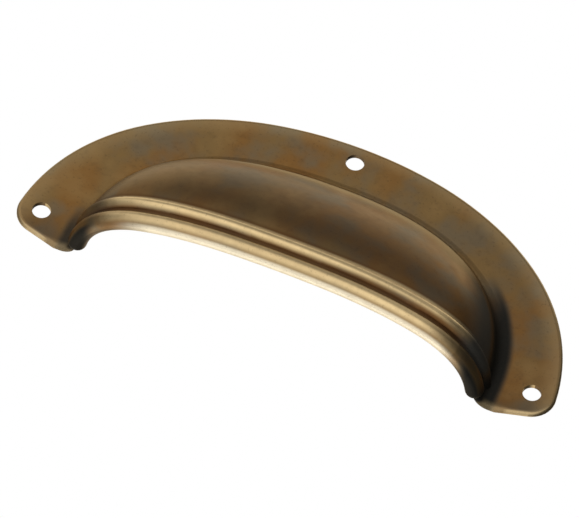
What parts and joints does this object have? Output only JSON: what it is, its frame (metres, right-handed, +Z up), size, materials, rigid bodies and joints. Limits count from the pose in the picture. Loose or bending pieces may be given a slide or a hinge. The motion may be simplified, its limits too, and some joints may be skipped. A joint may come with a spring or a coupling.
{
  "type": "cup drawer pull",
  "caption": "Hooded cup pull pressed from sheet brass, screwed to a drawer front and pulled with the fingers behind its beaded lip.",
  "frame": {"origin": "midway between the axes of the lower screw holes, on the flat back of the flange", "axes": "as fixed to a drawer front: +X to the right, +Y into the drawer, +Z up; the hood stands out towards -Y and its mouth is down"},
  "size_m": [0.0972, 0.0209, 0.0411],
  "materials": {
    "aged_brass": "darkened antique brass, rubbed lighter along the beads and the flange's edge"
  },
  "bodies": {
    "root": {"cup_pull": "aged_brass"}
  },
  "joints": []
}
